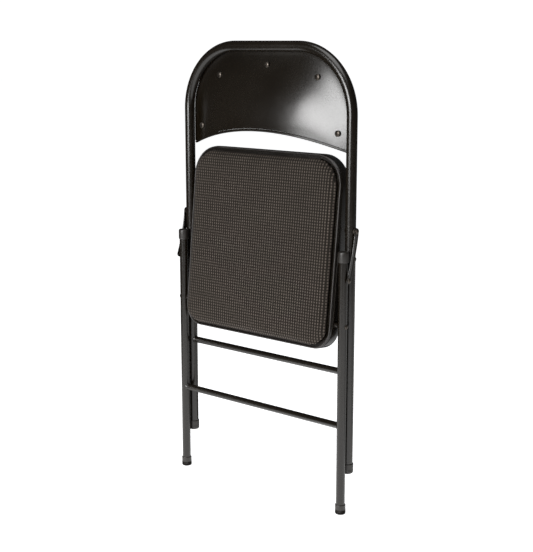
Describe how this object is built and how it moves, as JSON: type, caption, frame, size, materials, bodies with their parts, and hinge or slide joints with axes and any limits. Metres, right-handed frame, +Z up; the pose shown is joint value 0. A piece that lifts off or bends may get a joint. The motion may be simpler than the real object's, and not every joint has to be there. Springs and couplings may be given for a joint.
{
  "type": "folding chair",
  "caption": "Folding chair with a bent-tube frame, stamped back panel and padded fabric seat, shown folded flat.",
  "frame": {"origin": "on the floor, at the middle of the folded chair's footprint", "axes": "+X across the chair, +Y the way a sitter faces, +Z up along the folded frame"},
  "size_m": [0.4824, 0.083, 0.9711],
  "materials": {
    "frame_paint": "semi-gloss baked enamel, near-black brown",
    "foot_rubber": "matt moulded",
    "seat_cloth": "woven, with a fine grid of lighter dots",
    "pad_board": "plain hardboard",
    "edge_trim": "matt vinyl edging",
    "fixings": "dark plated"
  },
  "bodies": {
    "back_frame": {"back_frame_tube": "frame_paint", "upper_stretcher": "frame_paint", "backrest_panel": "frame_paint", "backrest_hem": "frame_paint", "backrest_board": "pad_board", "backrest_pad": "seat_cloth", "backrest_screw_1": "fixings", "backrest_screw_2": "fixings", "backrest_screw_3": "fixings", "backrest_screw_4": "fixings", "backrest_screw_5": "fixings", "front_foot_left": "foot_rubber", "front_foot_right": "foot_rubber", "link_pin_left": "fixings", "link_pin_right": "fixings", "seat_pin_left": "fixings", "seat_pin_right": "fixings", "seat_pin_spacer_left": "frame_paint", "seat_pin_spacer_right": "frame_paint"},
    "seat": {"seat_pan": "frame_paint", "seat_bracket_left": "frame_paint", "seat_bracket_right": "frame_paint", "seat_board": "pad_board", "seat_pad": "seat_cloth", "seat_piping": "edge_trim", "seat_screw_1": "fixings", "seat_screw_2": "fixings", "seat_screw_3": "fixings", "seat_screw_4": "fixings"},
    "rear_legs": {"rear_leg_left": "frame_paint", "rear_leg_right": "frame_paint", "lower_stretcher": "frame_paint", "leg_top_cap_left": "foot_rubber", "leg_top_cap_right": "foot_rubber", "rear_foot_left": "foot_rubber", "rear_foot_right": "foot_rubber", "leg_pin_left": "fixings", "leg_pin_right": "fixings", "leg_pin_spacer_left": "frame_paint", "leg_pin_spacer_right": "frame_paint"},
    "link_left": {"link_left": "frame_paint", "link_washer_left": "fixings", "link_leg_pin_left": "fixings"},
    "link_right": {"link_right": "frame_paint", "link_washer_right": "fixings", "link_leg_pin_right": "fixings"}
  },
  "joints": [
    {"name": "seat_fold", "type": "hinge", "parent": "back_frame", "child": "seat", "pos_m": [0, 0.01199, 0.5388], "axis": [-1, 0, 0], "range_deg": [0, 107]},
    {"name": "rear_leg_fold", "type": "hinge", "parent": "seat", "child": "rear_legs", "pos_m": [0, -0.01211, 0.4028], "axis": [-1, 0, 0], "range_deg": [-68, 0]},
    {"name": "link_left_fold", "type": "hinge", "parent": "back_frame", "child": "link_left", "pos_m": [-0.2375, 0.01199, 0.5961], "axis": [-1, 0, 0], "range_deg": [0, 129]},
    {"name": "link_right_fold", "type": "hinge", "parent": "back_frame", "child": "link_right", "pos_m": [0.2375, 0.01199, 0.5961], "axis": [-1, 0, 0], "range_deg": [0, 129]}
  ],
  "couplings": [
    {"joint": "rear_leg_fold", "follows": "seat_fold", "ratio": -0.6262},
    {"joint": "link_left_fold", "follows": "seat_fold", "ratio": 1.1995},
    {"joint": "link_right_fold", "follows": "seat_fold", "ratio": 1.1995}
  ]
}
